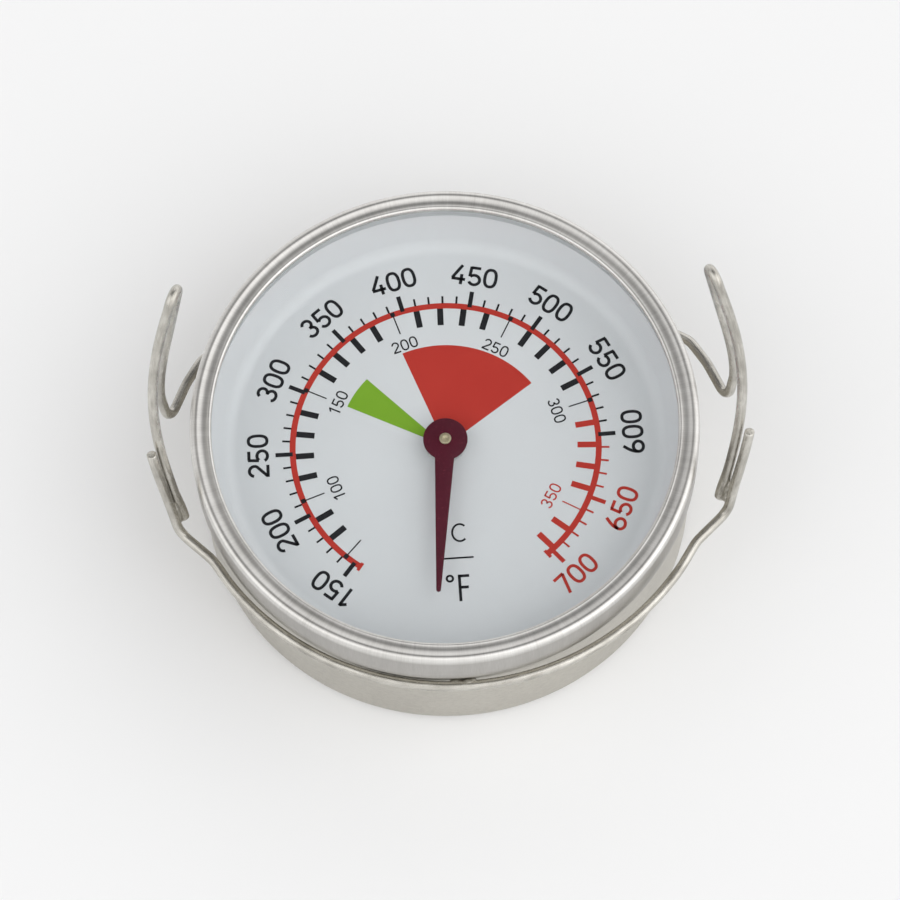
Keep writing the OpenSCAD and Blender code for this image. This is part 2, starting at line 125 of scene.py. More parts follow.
class Finish:
    """One procedural material, or the studio's surroundings: node() makes any node, shade()
    sets the Principled shader."""

    def __init__(self, name, surroundings=False):
        kinds = bpy.data.worlds if surroundings else bpy.data.materials
        self.material = kinds.new(name)
        self.material.use_nodes = True
        self.tree = self.material.node_tree
        self.tree.nodes.clear()
        self.output = self.tree.nodes.new(
            "ShaderNodeOutputWorld" if surroundings else "ShaderNodeOutputMaterial"
        )

    def node(self, kind, settings=None, inputs=None, out=0):
        n = self.tree.nodes.new(kind)
        for key, value in (settings or {}).items():
            if key == "stops":
                ramp = n.color_ramp
                while len(ramp.elements) < len(value):
                    ramp.elements.new(0.5)
                for element, (at, colour) in zip(ramp.elements, value):
                    element.position, element.color = at, (*colour, 1)
            else:
                setattr(n, key, value)
        for key, value in (inputs or {}).items():
            if isinstance(value, Value):
                self.tree.links.new(value.socket, n.inputs[key])
            elif value is not None:
                n.inputs[key].default_value = value
        return Value(self, n.outputs[out])

    def place(self):
        """The point on the piece, in metres, as x, y and z."""
        at = self.node("ShaderNodeTexCoord", out="Object")
        return [self.node("ShaderNodeSeparateXYZ", None, {0: at}, out=i) for i in range(3)]

    def vector(self, x, y, z):
        return self.node("ShaderNodeCombineXYZ", None, {0: x, 1: y, 2: z})

    def noise(self, at, scale, detail=2.0, rough=0.5):
        return self.node(
            "ShaderNodeTexNoise",
            None,
            {"Vector": at, "Scale": scale, "Detail": detail, "Roughness": rough},
        )

    def blend(self, share, a, b):
        """Colour a where share is 0, b where it is 1."""
        n = self.tree.nodes.new("ShaderNodeMix")
        n.data_type = "RGBA"
        for i, value in ((0, share), (6, a), (7, b)):
            if isinstance(value, Value):
                self.tree.links.new(value.socket, n.inputs[i])
            else:
                n.inputs[i].default_value = (*value, 1) if i else value
        return Value(self, n.outputs[2])

    def ramp(self, share, stops):
        return self.node("ShaderNodeValToRGB", {"stops": stops}, {0: share})

    def bump(self, height, depth, strength):
        """Relief of the given depth in metres."""
        return self.node(
            "ShaderNodeBump",
            None,
            {"Height": height, "Distance": depth, "Strength": strength},
        )

    def shade(self, colour, rough, metal=0.0, normal=None, **fixed):
        if not isinstance(colour, Value):
            colour = (*colour, 1)
        inputs = {"Base Color": colour, "Roughness": rough, "Metallic": metal, "Normal": normal}
        inputs.update({k.replace("_", " "): v for k, v in fixed.items()})
        surface = self.node("ShaderNodeBsdfPrincipled", None, inputs)
        self.show(surface)

    def show(self, surface):
        self.tree.links.new(surface.socket, self.output.inputs["Surface"])


def around_axis(f):
    """Radius, height, and the two parts of the direction away from the dial's axis."""
    x, y, z = f.place()
    r = (x * x + y * y + 1e-9) ** 0.5
    return r, z, x / r, y / r


def brushed_rim():
    """Steel brushed across the rim and up the skirt: streaks that hold their direction from
    the axis and fade along their length. The skirt is coloured darker as painted shade, the top
    lighter as painted light; the top is also a little smoother."""
    f = Finish("brushed_rim")
    r, z, dx, dy = around_axis(f)
    along = r + z
    fine = f.noise(f.vector(dx, dy, along * 1.6), 210, 2, 0.6)
    broad = f.noise(f.vector(dx, dy, along * 0.6), 34, 2)
    cloud = f.noise(f.vector(dx, dy, along * 9), 3.2, 2)
    streak = fine * 0.6 + broad * 0.4
    tone = streak * 0.6 + cloud * 0.4
    # Two copies of one steel: the skirt's darker colours are painted shade, the top's lighter
    # ones painted light.
    skirt = f.ramp(
        tone, [(0.3, (0.35, 0.338, 0.32)), (0.5, (0.42, 0.407, 0.385)), (0.7, (0.50, 0.49, 0.47))]
    )
    top = f.ramp(
        tone, [(0.3, (0.56, 0.545, 0.52)), (0.5, (0.68, 0.665, 0.64)), (0.7, (0.78, 0.77, 0.745))]
    )
    # Share of the top by height: it picks the painted-light colours and lowers the roughness a
    # little as a smoother finish.
    lit_top_and_polish = ((z - (CASE_H - 1.3) * MM) * (1 / (0.8 * MM))).clamped()
    colour = f.blend(lit_top_and_polish, skirt, top)
    rough = 0.29 + streak * 0.08 + cloud * 0.05 - lit_top_and_polish * 0.04
    f.shade(colour, rough, 1.0, f.bump(streak, 0.00002, 0.12), Anisotropic=0.75)
    return f.material


def satin_cup():
    """Drawn steel: faint rings from drawing, a fine grain and a few handling marks."""
    f = Finish("satin_cup")
    r, z, dx, dy = around_axis(f)
    rings = f.noise(f.vector(dx * 0.02, dy * 0.02, z + r), 1900, 3, 0.6)
    grain = f.noise(f.vector(dx * 0.037, dy * 0.037, z), 5200, 2)
    cloud = f.noise(f.vector(dx, dy, z * 30), 2.4, 3)
    colour = f.ramp(
        rings * 0.45 + grain * 0.25 + cloud * 0.3,
        [(0.25, (0.38, 0.36, 0.32)), (0.55, (0.54, 0.52, 0.47)), (0.8, (0.64, 0.625, 0.58))],
    )
    rough = 0.27 + rings * 0.14 + cloud * 0.12
    f.shade(colour, rough, 1.0, f.bump(rings * 0.6 + grain * 0.4, 0.00002, 0.5))
    return f.material


def drawn_wire():
    """Bright wire with die lines that run along it, and soft grey and warm patches."""
    f = Finish("drawn_wire")
    uv = f.node("ShaderNodeUVMap", {"uv_map": "wire"})
    turn = f.node("ShaderNodeSeparateXYZ", None, {0: uv}, out=0)
    length = f.node("ShaderNodeSeparateXYZ", None, {0: uv}, out=1)
    angle = turn * (2 * math.pi)
    cx, cy = angle.math("COSINE", angle), angle.math("SINE", angle)
    lines = f.noise(f.vector(cx, cy, length * 12), 16, 3, 0.65)
    patches = f.noise(f.vector(cx * 0.6, cy * 0.6, length * 260), 1.1, 3)
    nicks = f.noise(f.vector(cx, cy, length * 900), 2.3, 4, 0.7)
    mark = (nicks * 3.4 - 1.95).clamped()
    colour = f.ramp(
        lines * 0.5 + patches * 0.5,
        [(0.28, (0.25, 0.235, 0.205)), (0.5, (0.52, 0.50, 0.455)), (0.74, (0.80, 0.78, 0.725))],
    )
    colour = f.blend(mark * 0.55, colour, (0.25, 0.235, 0.21))
    rough = 0.14 + lines * 0.12 + patches * 0.12 + mark * 0.15
    f.shade(colour, rough, 1.0, f.bump(lines * 0.8 + nicks * 0.2, 0.00005, 0.6))
    return f.material


def weld_metal():
    """Dull rippled weld with dark pits and a straw tint."""
    f = Finish("weld_metal")
    at = f.node("ShaderNodeTexCoord", out="Object")
    lumps = f.noise(at, 1100, 4, 0.65)
    pits = f.noise(at, 2600, 3, 0.6)
    tint = f.noise(at, 420, 2)
    colour = f.ramp(
        lumps * 0.6 + tint * 0.4,
        [(0.3, (0.26, 0.24, 0.21)), (0.5, (0.50, 0.48, 0.43)), (0.72, (0.70, 0.68, 0.64))],
    )
    colour = f.blend((pits * 6 - 3.7).clamped(), colour, (0.04, 0.035, 0.03))
    rough = 0.38 + pits * 0.3
    f.shade(colour, rough, 1.0, f.bump(lumps * 0.7 + pits * 0.3, 0.00025, 0.7))
    return f.material


def dial_enamel():
    """Cool white enamel, a shade warmer in its lighter random clouds, with a faint orange peel.
    """
    f = Finish("dial_enamel")
    at = f.node("ShaderNodeTexCoord", out="Object")
    peel = f.noise(at, 900, 2)
    cloud = f.noise(at, 38, 3)
    specks = f.noise(at, 3600, 2)
    colour = f.ramp(
        cloud * 0.75 + specks * 0.25,
        [
            (0.3, (0.725, 0.739, 0.757)),
            (0.55, (0.755, 0.769, 0.787)),
            (0.8, (0.783, 0.797, 0.813)),
        ],
    )
    rough = 0.34 + cloud * 0.1
    relief = f.bump(peel, 0.00001, 0.35)
    f.shade(colour, rough, 0.0, relief, Coat_Weight=0.25, Coat_Roughness=0.2)
    return f.material


def ink(name, dark, light):
    """Screen ink: two near shades, a dry grain and a dull gloss."""
    f = Finish(name)
    at = f.node("ShaderNodeTexCoord", out="Object")
    grain = f.noise(at, 2600, 3, 0.6)
    cloud = f.noise(at, 160, 2)
    colour = f.blend((grain * 0.6 + cloud * 0.9 - 0.25).clamped(), dark, light)
    rough = 0.42 + grain * 0.16
    f.shade(colour, rough, 0.0, f.bump(grain, 0.000006, 0.4), Specular_IOR_Level=0.2)
    return f.material


def pointer_enamel():
    """Dark wine-red enamel with fine lighter flecks."""
    f = Finish("pointer_enamel")
    at = f.node("ShaderNodeTexCoord", out="Object")
    fleck = f.noise(at, 4200, 2, 0.6)
    cloud = f.noise(at, 210, 3)
    colour = f.blend(cloud, (0.060, 0.0030, 0.0125), (0.100, 0.0055, 0.0200))
    colour = f.blend((fleck * 7 - 4.35).clamped() * 0.5, colour, (0.30, 0.055, 0.085))
    rough = 0.33 + fleck * 0.2
    relief = f.bump(fleck * 0.6 + cloud * 0.4, 0.00001, 0.5)
    f.shade(colour, rough, 0.0, relief, Specular_IOR_Level=0.25)
    return f.material


def turned(name, dark, mid, light, rough):
    """Turned metal: fine rings round the axis over a soft cloud."""
    f = Finish(name)
    r, z, dx, dy = around_axis(f)
    rings = f.noise(f.vector(dx * 0.01, dy * 0.01, r * 1.0 + z * 0.7), 5200, 3, 0.6)
    cloud = f.noise(f.vector(dx, dy, z * 80), 2.2, 2)
    colour = f.ramp(rings * 0.6 + cloud * 0.4, [(0.28, dark), (0.5, mid), (0.75, light)])
    f.shade(colour, rough + rings * 0.16, 1.0, f.bump(rings, 0.00002, 0.5))
    return f.material


def rolled(name, dark, mid, light, rough):
    """Rolled or pressed strip: streaks along the strip's length and dull patches."""
    f = Finish(name)
    x, y, z = f.place()
    streaks = f.noise(f.vector(x * 0.08, y * 0.08, z), 2600, 3, 0.6)
    patches = f.noise(f.vector(x, y, z), 190, 3)
    colour = f.ramp(streaks * 0.5 + patches * 0.5, [(0.28, dark), (0.5, mid), (0.75, light)])
    f.shade(colour, rough + patches * 0.2, 1.0, f.bump(streaks, 0.00002, 0.5))
    return f.material


def gasket_fibre():
    """Pale pressed fibre that stands the heat of a grill."""
    f = Finish("gasket_fibre")
    at = f.node("ShaderNodeTexCoord", out="Object")
    grain = f.noise(at, 2400, 3)
    cloud = f.noise(at, 120, 2)
    colour = f.blend(cloud, (0.62, 0.63, 0.63), (0.72, 0.73, 0.73))
    f.shade(colour, 0.7 + grain * 0.2, 0.0, f.bump(grain, 0.00002, 0.6))
    return f.material


def clear_glass():
    """Flat glass: clear from above, mirroring more towards grazing, with a trace of haze."""
    f = Finish("clear_glass")
    at = f.node("ShaderNodeTexCoord", out="Object")
    haze = f.noise(at, 60, 3)
    edge = f.node("ShaderNodeFresnel", None, {"IOR": 1.45})
    clear = f.node("ShaderNodeBsdfTransparent", None, {"Color": (0.985, 0.992, 0.992, 1)})
    shine = f.node(
        "ShaderNodeBsdfGlossy", None, {"Color": (1, 1, 1, 1), "Roughness": 0.04}
    )
    share = (edge * (0.2 + haze * 0.1)).clamped()
    mixed = f.node("ShaderNodeMixShader", None, {0: share, 1: clear, 2: shine})
    f.show(mixed)
    return f.material


RIM, CUP, WIRE, WELD = brushed_rim(), satin_cup(), drawn_wire(), weld_metal()
DIAL, POINTER, GLASS, FIBRE = dial_enamel(), pointer_enamel(), clear_glass(), gasket_fibre()
BLACK = ink("black_ink", (0.011, 0.011, 0.013), (0.022, 0.022, 0.026))
RED = ink("red_ink", (0.500, 0.036, 0.026), (0.560, 0.048, 0.034))
GREEN = ink("green_ink", (0.185, 0.385, 0.022), (0.235, 0.450, 0.035))
BRASS = turned("turned_brass", (0.36, 0.25, 0.10), (0.60, 0.47, 0.24), (0.76, 0.64, 0.40), 0.24)
STAKE = turned("staked_end", (0.30, 0.25, 0.15), (0.50, 0.44, 0.30), (0.62, 0.55, 0.40), 0.34)
BOSS = turned("turned_boss", (0.42, 0.42, 0.41), (0.66, 0.66, 0.65), (0.82, 0.82, 0.81), 0.26)
STRIP = rolled("bimetal_strip", (0.30, 0.24, 0.19), (0.50, 0.43, 0.36), (0.66, 0.60, 0.52), 0.3)
STRAP = rolled("pressed_strap", (0.42, 0.41, 0.39), (0.62, 0.61, 0.59), (0.76, 0.75, 0.73), 0.28)


# ---------------------------------------------------------------- surfaces


def quads(rows, columns, loop_rows=False, loop_columns=False):
    """Faces of a grid whose point (i, j) is number i * columns + j."""
    i = np.arange(rows if loop_rows else rows - 1)[:, None]
    j = np.arange(columns if loop_columns else columns - 1)[None, :]
    k, m = (i + 1) % rows, (j + 1) % columns
    return np.stack(
        [i * columns + j, k * columns + j, k * columns + m, i * columns + m], -1
    ).reshape(-1, 4)


def build(name, parts, finish, body, stands_for=(), crease=35.0, wire_uv=None):
    """One object from (points, faces) arrays in millimetres."""
    points, faces, start = [], [], 0
    for p, fs in parts:
        p = np.asarray(p, float).reshape(-1, 3)
        points.append(p)
        faces += [tuple(int(v) + start for v in face) for face in fs]
        start += len(p)
    mesh = bpy.data.meshes.new(name)
    mesh.from_pydata((np.concatenate(points) * MM).tolist(), [], faces)
    mesh.update()
    if wire_uv is not None:
        uv = mesh.uv_layers.new(name="wire")
        corner = np.empty(len(mesh.loops), int)
        mesh.loops.foreach_get("vertex_index", corner)
        uv.data.foreach_set("uv", wire_uv(corner, mesh).astype(np.float32).ravel())
    mesh.shade_smooth()
    mesh.set_sharp_from_angle(angle=math.radians(crease))
    mesh.materials.append(finish)
    piece = bpy.data.objects.new(name, mesh)
    bpy.context.scene.collection.objects.link(piece)
    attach(piece, body)
    if stands_for:
        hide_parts(*stands_for)
    return piece


def rounded(points, radii, steps=6):
    """Closed outline with each corner rounded: from the tangent point before the corner to the
    one after it, points on a quadratic curve that bulges towards the corner."""
    p = np.asarray(points, float)
    before, after = np.roll(p, 1, 0), np.roll(p, -1, 0)
    u = (before - p) / np.linalg.norm(before - p, axis=1)[:, None]
    v = (after - p) / np.linalg.norm(after - p, axis=1)[:, None]
    r = np.asarray(radii, float)[:, None]
    t = np.linspace(0, 1, steps)[None, :, None]
    a, b, c = (p + u * r)[:, None], p[:, None], (p + v * r)[:, None]
    w = 0.75
    curve = ((1 - t) ** 2 * a + 2 * w * t * (1 - t) * b + t**2 * c) / (
        (1 - t) ** 2 + 2 * w * t * (1 - t) + t**2
    )
    return curve.reshape(-1, 2)


def lathe(profile, around=256):
    """A closed outline of (radius, height), turned through 360 degrees about +Z. An outline
    that runs anticlockwise, with radius to the right and height up, faces outwards."""
    profile = np.asarray(profile, float)
    a = np.linspace(0, 2 * np.pi, around, endpoint=False)[:, None]
    r, z = profile[None, :, 0], profile[None, :, 1]
    grid = np.stack([r * np.cos(a), r * np.sin(a), z + 0 * a], -1)
    faces = quads(around, len(profile), True, True)
    return grid.reshape(-1, 3), faces


def lathe_solid(profile, around=96):
    """An open outline of (radius, height) from the axis below to the axis above, turned
    through 360 degrees; its first and last points are single points on the axis."""
    profile = np.asarray(profile, float)
    inner = profile[1:-1]
    a = np.linspace(0, 2 * np.pi, around, endpoint=False)[:, None]
    r, z = inner[None, :, 0], inner[None, :, 1]
    grid = np.stack([r * np.cos(a), r * np.sin(a), z + 0 * a], -1).reshape(-1, 3)
    n = len(inner)
    faces = quads(around, n, True, False).tolist()
    low, high = len(grid), len(grid) + 1
    i = np.arange(around)
    k = (i + 1) % around
    fan_low = np.stack([k * n, i * n, np.full(around, low)], -1)
    fan_high = np.stack([i * n + n - 1, k * n + n - 1, np.full(around, high)], -1)
    poles = [[0, 0, profile[0, 1]], [0, 0, profile[-1, 1]]]
    return np.concatenate([grid, poles]), faces + fan_low.tolist() + fan_high.tolist()


# ---------------------------------------------------------------- case


def arc_deg(a, b, n):
    """Even angles from a to b degrees, in radians."""
    return np.radians(np.linspace(a, b, n))


def arc_points(cx, cy, r, a, b, n):
    """Points on the arc of radius r about (cx, cy) from a to b degrees."""
    t = arc_deg(a, b, n)
    return np.stack([cx + r * np.cos(t), cy + r * np.sin(t)], -1)


def cup_profile():
    """Half of the cup's section: outside wall and corner, rolled flange, and back inside."""
    inner = CUP_CORNER - CUP_T
    top = FLANGE_Z
    return np.concatenate(
        [
            [[1.5, 0], [18, 0.0], [30, 0.0]],
            arc_points(CUP_R - CUP_CORNER, CUP_CORNER, CUP_CORNER, -90, 0, 14),
            [[CUP_R, 8], [CUP_R, 15]],
            arc_points(CUP_R + 0.12, top - CUP_T - 0.12, 0.12, 180, 90, 5),
            [[FLANGE_R, top - CUP_T], [FLANGE_R, top], [CUP_R, top]],
            arc_points(CUP_R - CUP_T + 0.35, top - 0.35, 0.35, 90, 180, 6),
            [[CUP_R - CUP_T, 12]],
            arc_points(CUP_R - CUP_CORNER, CUP_CORNER, inner, 0, -90, 12),
            [[1.5, CUP_T]],
        ]
    )


def bezel_profile():
    """Section of the bezel: skirt, round outer bead, a top face hollowed by 0.1, a round inner
    lip, and a bead that snaps under the cup's flange."""
    bead, bead_z = SKIRT_GAP - SEAT, FLANGE_Z - CUP_T - SEAT
    crest, lip, lip_z = 0.9, 0.42, CASE_H - 0.2
    outer = arc_points(BEZEL_R - crest, CASE_H - crest, crest, 0, 112, 16)
    inner = arc_points(SIGHT_R + lip, lip_z - lip, lip, 66, 180, 12)
    t = np.linspace(0, 1, 9)[1:-1, None]
    hollow = outer[-1] + (inner[0] - outer[-1]) * t - [0, 0.1] * np.sin(np.pi * t)
    return np.concatenate(
        [
            arc_points(BEZEL_IN + 0.18, SKIRT_Z + 0.18, 0.18, 180, 270, 4),
            arc_points(BEZEL_R - 0.18, SKIRT_Z + 0.18, 0.18, 270, 360, 5),
            [[BEZEL_R, SKIRT_Z + 2.5], [BEZEL_R, SKIRT_Z + 4.5]],
            outer,
            hollow,
            inner,
            [[SIGHT_R, LENS_TOP + SEAT], [BEZEL_IN, LENS_TOP + SEAT], [BEZEL_IN, bead_z]],
            [[BEZEL_IN - bead, bead_z - bead], [BEZEL_IN, bead_z - 2 * bead]],
        ]
    )


def pan_profile():
    """Section of the dial pan: flat face, soft fillet, sloping wall and clamped flange."""
    hole = SPINDLE_R + 0.7
    flat = DIAL_Z
    face = np.array([[hole, flat], [10, flat], [20, flat], [DIAL_R - 1.6, flat]])
    start, corner, end = face[-1], [DIAL_R, flat], [DIAL_R + 0.75, flat + 1.6]
    t = np.linspace(0, 1, 10)[:, None]
    fillet = (1 - t) ** 2 * start + 2 * t * (1 - t) * np.array(corner) + t**2 * np.array(end)
    wall = [[PAN_TOP_R - 0.12, GASKET_Z - 0.35], [PAN_TOP_R + 0.1, GASKET_Z]]
    top = [[SEATED_R, GASKET_Z], [SEATED_R, FLANGE_Z]]
    below = [[PAN_TOP_R + DIAL_T, FLANGE_Z], [DIAL_R + 0.2, flat - DIAL_T], [hole, flat - DIAL_T]]
    return np.concatenate([face, fillet[1:], wall, top, below])


build("cup_shell", [lathe(cup_profile(), 320)], CUP, "case", ["case_cup"])
build("bezel_shell", [lathe(bezel_profile(), 320)], RIM, "case", ["bezel_ring"])
pan_points, pan_faces = lathe(pan_profile()[::-1], 256)
build("dial_plate", [(pan_points, pan_faces)], DIAL, "case", ["dial_pan"])

lens_profile = [
    [0, LENS_Z],
    [20, LENS_Z],
    [SEATED_R - 0.25, LENS_Z],
    [SEATED_R, LENS_Z + 0.25],
    [SEATED_R, LENS_TOP - 0.25],
    [SEATED_R - 0.25, LENS_TOP],
    [20, LENS_TOP],
    [0, LENS_TOP],
]
build("lens_glass", [lathe_solid(lens_profile, 192)], GLASS, "case", ["lens"])

gasket_profile = rounded(
    [
        [SEATED_R - GASKET_W, GASKET_Z],
        [SEATED_R, GASKET_Z],
        [SEATED_R, LENS_Z],
        [SEATED_R - GASKET_W, LENS_Z],
    ],
    [0.12] * 4,
    4,
)
build("gasket_ring", [lathe(gasket_profile)], FIBRE, "case", ["lens_gasket"])


# ---------------------------------------------------------------- wires


def unit(v):
    """The directions of vectors, each one long."""
    return v / np.linalg.norm(v, axis=-1, keepdims=True)


def smooth(t):
    """Ease from 0 to 1: 3 t ** 2 - 2 t ** 3."""
    return t * t * (3 - 2 * t)


def leg(t, side):
    """Centreline of the right loop's legs at share t of their height: they lean in and back,
    bow outwards, draw together and turn about the loop's middle; side is 1 in front."""
    t = np.atleast_1d(np.asarray(t, float))
    spread = FOOT_SPREAD + (U_TURN_R - FOOT_SPREAD) * t
    twist = FOOT_TWIST + (TOP_TWIST - FOOT_TWIST) * smooth(t)
    x = LOOP_FOOT_X + (LOOP_TOP_X - LOOP_FOOT_X) * t * t + LOOP_BOW * np.sin(np.pi * t)
    return np.stack(
        [
            x + side * spread * np.sin(twist),
            LEAN_BACK * U_TURN_H * t - FOOT_FORWARD - side * spread * np.cos(twist),
            RING_Z + U_TURN_H * t,
        ],
        -1,
    )


def tail(t):
    """The turned-up tail outside and in front of the front leg, springing away towards its
    free end."""
    t = np.atleast_1d(np.asarray(t, float))
    away = 2 * WIRE_R + TAIL_GAP + TAIL_SPLAY * t * t
    way = np.array([math.cos(TAIL_TURN), -math.sin(TAIL_TURN), 0])
    return leg(t * TAIL_H / U_TURN_H, 1) + away[:, None] * way


def on_ring(deg, side):
    """A wire's arc, wider than the cup, touching it only at side * 90 degrees."""
    a = np.radians(np.atleast_1d(np.asarray(deg, float)))
    slack, offset = (REAR_SLACK, REAR_OFFSET) if side > 0 else (FRONT_SLACK, FRONT_OFFSET)
    r = TOUCH_R + math.hypot(slack, offset)
    return np.stack([r * np.cos(a), r * np.sin(a) - side * slack, RING_Z + 0 * a], -1)


def u_turn(n=17):
    """Half circle over the top, from the rear leg to the front leg."""
    front, rear = leg(1, 1)[0], leg(1, -1)[0]
    middle, reach = (front + rear) / 2, (front - rear) / 2
    rise = U_TURN_R * unit(np.array([-0.12, LEAN_BACK, 1.0]))
    a = np.linspace(0, np.pi, n)[1:, None]
    return middle - reach * np.cos(a) + rise * np.sin(a)


def bend(a, b, c, r, n=9):
    """Corner b between a and c, rounded to radius r."""
    a, b, c = (np.asarray(p, float).reshape(3) for p in (a, b, c))
    u, v = unit(a - b), unit(c - b)
    half = np.arccos(np.clip(u @ v, -1, 1)) / 2
    centre = b + unit(u + v) * r / np.sin(half)
    start, end = b + u * r / np.tan(half) - centre, b + v * r / np.tan(half) - centre
    sweep = np.arccos(np.clip(unit(start) @ unit(end), -1, 1))
    s = np.linspace(0, sweep, n)[:, None]
    return centre + (np.sin(sweep - s) * start + np.sin(s) * end) / np.sin(sweep)


def mirrored(path):
    """The path on the other side, run the other way."""
    return path[::-1] * [-1, 1, 1]


def rear_half():
    """Right half of the handle wire, from behind the cup to the front leg's lower end."""
    leave = on_ring(REAR_LEAVE, 1)[0]
    shoulder = leave + REAR_RUN * np.array([math.sin(REAR_OUT), -math.cos(REAR_OUT), 0])
    foot = leg(0, -1)[0] - [REAR_FOOT_IN, REAR_FOOT_FORWARD, 0]
    knee = shoulder + 0.4 * (foot - shoulder) + [0.35, 0.15, 0]
    return np.concatenate(
        [
            on_ring(np.linspace(90, REAR_LEAVE + 2, 30), 1),
            bend(on_ring(REAR_LEAVE + 2, 1)[0], leave, shoulder, CORNER_R),
            bend(leave, shoulder, knee, CORNER_R),
            bend(shoulder, knee, foot, CORNER_R * 1.4),
            bend(knee, foot, leg(FOOT_SHARE, -1)[0], FOOT_R),
            leg(np.linspace(0.125, 1, 44), -1),
            u_turn(),
            leg(np.linspace(0.98, TIP_SHARE, 48), 1),
        ]
    )


def front_half():
    """Right half of the front wire, from the weld to the tail's free end."""
    leave, foot = on_ring(-FRONT_LEAVE, -1)[0], tail(0)[0]
    return np.concatenate(
        [
            on_ring(np.linspace(-90, -FRONT_LEAVE - 6, 32), -1),
            bend(on_ring(-FRONT_LEAVE - 5, -1)[0], leave, foot, CORNER_R * 1.4),
            bend(leave, foot, tail(0.2)[0], CORNER_R),
            tail(np.linspace(0.24, 1, 16)),
        ]
    )


def whole(right, offset):
    """Both halves of a wire, the left one the mirror of the right, welded off centre."""
    return np.concatenate([mirrored(right[1:]), right]) + [offset, 0, 0]


def even(path, step):
    """The path resampled at equal steps of its length."""
    s = np.concatenate([[0], np.cumsum(np.linalg.norm(np.diff(path, axis=0), axis=1))])
    at = np.linspace(0, s[-1], int(s[-1] / step) + 1)
    return np.stack([np.interp(at, s, path[:, i]) for i in range(3)], -1), at


def tube(rings, start, end):
    """Closed tube through rings of points that turn anticlockwise about the way it grows, with
    a single point at each end."""
    count, sides = rings.shape[:2]
    i = np.arange(sides)
    k = (i + 1) % sides
    top = (count - 1) * sides
    low = np.stack([k, i, np.full(sides, count * sides)], -1)
    high = np.stack([top + i, top + k, np.full(sides, count * sides + 1)], -1)
    walls = quads(count, sides, False, True)[:, ::-1]
    points = np.concatenate([rings.reshape(-1, 3), [start, end]])
    return points, walls.tolist() + low.tolist() + high.tolist()


def wire(path, r, nose, flat=0.0, sides=20):
    """Round bar along a path. Its section is spanned by n, the direction away from the dial's
    axis made square to the path, and by b, the path's direction crossed with n. At share q of
    the nose at each end it is r * sqrt(1 - (1 - q) ** 2) thick; flat squeezes the last
    millimetres along b and spreads them along n."""
    path, at = even(path, 0.45)
    for _ in range(2):
        path[1:-1] = (path[:-2] + 2 * path[1:-1] + path[2:]) / 4
    t = unit(np.gradient(path, axis=0))
    out = path * [1, 1, 0]
    n = unit(out - (out * t).sum(1)[:, None] * t)
    b = np.cross(t, n)
    q = np.array([0.06, 0.2, 0.45, 0.75])
    inside = np.flatnonzero((at > nose) & (at < at[-1] - nose))
    row = np.concatenate([np.zeros(4, int), inside, np.full(4, len(path) - 1)])
    ahead = np.concatenate([nose * q, np.zeros(len(inside)), -nose * q[::-1]])
    thick = np.sqrt(1 - (1 - q) ** 2)
    radius = r * np.concatenate([thick, np.ones(len(inside)), thick[::-1]])
    along = at[row] + ahead
    press = flat * smooth(np.clip(1.25 - np.minimum(along, at[-1] - along) / 6.5, 0, 1))
    a = np.linspace(0, 2 * np.pi, sides, endpoint=False)[None, :, None]
    spread = (radius * (1 + 0.9 * press))[:, None, None] * np.cos(a) * n[row][:, None]
    squeeze = (radius * (1 - press))[:, None, None] * np.sin(a) * b[row][:, None]
    rings = (path[row] + ahead[:, None] * t[row])[:, None] + spread + squeeze
    part = tube(rings, path[0], path[-1])

    def wire_uv(corner, mesh):
        """Turn about the wire from 0 to 1, and length along it in metres."""
        pole = corner >= len(row) * sides
        column = np.where(pole, np.nan, corner % sides)
        start = np.empty(len(mesh.polygons), int)
        total = np.empty(len(mesh.polygons), int)
        mesh.polygons.foreach_get("loop_start", start)
        mesh.polygons.foreach_get("loop_total", total)
        face = np.repeat(np.arange(len(start)), total)
        low = np.fmin.reduceat(column, start)[face]
        high = np.fmax.reduceat(column, start)[face]
        column = np.where(pole, low, column)
        column = np.where((high - low > sides / 2) & (column == 0), sides, column)
        length = np.concatenate([np.repeat(along, sides), [0, at[-1]]])[corner]
        return np.stack([column / sides, length * MM], -1)

    return part, wire_uv


handle_part, handle_uv = wire(whole(rear_half(), REAR_OFFSET), WIRE_R, 0.9, 0.36)
build("handle_bar", [handle_part], WIRE, "case", ["handle_wire"], 60, handle_uv)
front_part, front_uv = wire(whole(front_half(), FRONT_OFFSET), WIRE_R, 0.16)
build("front_bar", [front_part], WIRE, "case", ["front_ring_wire"], 60, front_uv)

BEAD_SWELL = [0.0, 0.62, 0.86, 0.95, 1.0, 0.9, 0.86, 0.97, 1.0, 0.93, 0.84, 0.6, 0.0]


def bead(start, end, r, seed):
    """Weld bead between two points: the swelling of BEAD_SWELL along it, with lumps from a sum
    of sines round and along it."""
    start, end = np.asarray(start, float), np.asarray(end, float)
    u = np.linspace(0, 1, 51)[1:-1, None]
    v = np.linspace(0, 2 * np.pi, 40, endpoint=False)[None, :]
    swell = np.interp(u, np.linspace(0, 1, len(BEAD_SWELL)), BEAD_SWELL)
    lump = 1 + 0.055 * np.sin(3 * v + 11 * u + seed) + 0.045 * np.sin(5 * v - 23 * u + 2 * seed)
    lump = lump + 0.045 * np.sin(31 * u + seed) * np.cos(v)
    along = unit(end - start)
    side = unit(np.cross(along, [0.3, 0.2, 0.93]))
    up = np.cross(along, side)
    radius = (r * swell * lump)[..., None]
    rings = start + (end - start) * u[..., None] + radius * (
        np.cos(v)[..., None] * side + np.sin(v)[..., None] * up
    )
    return tube(rings, start, end)


def leg_weld(mirror):
    """Bead in the groove between a loop's lower end and its tail."""
    ends = [TIP_SHARE + 0.01, TIP_SHARE + 0.11]
    middle = (REAR_OFFSET + FRONT_OFFSET) / 2
    a, b = (
        ((leg(t, 1) + tail(t * U_TURN_H / TAIL_H)) / 2)[0] * [mirror, 1, 1] + [middle, 0, 0]
        for t in ends
    )
    return bead(a, b, WIRE_R * 0.86, 1.0 + mirror)


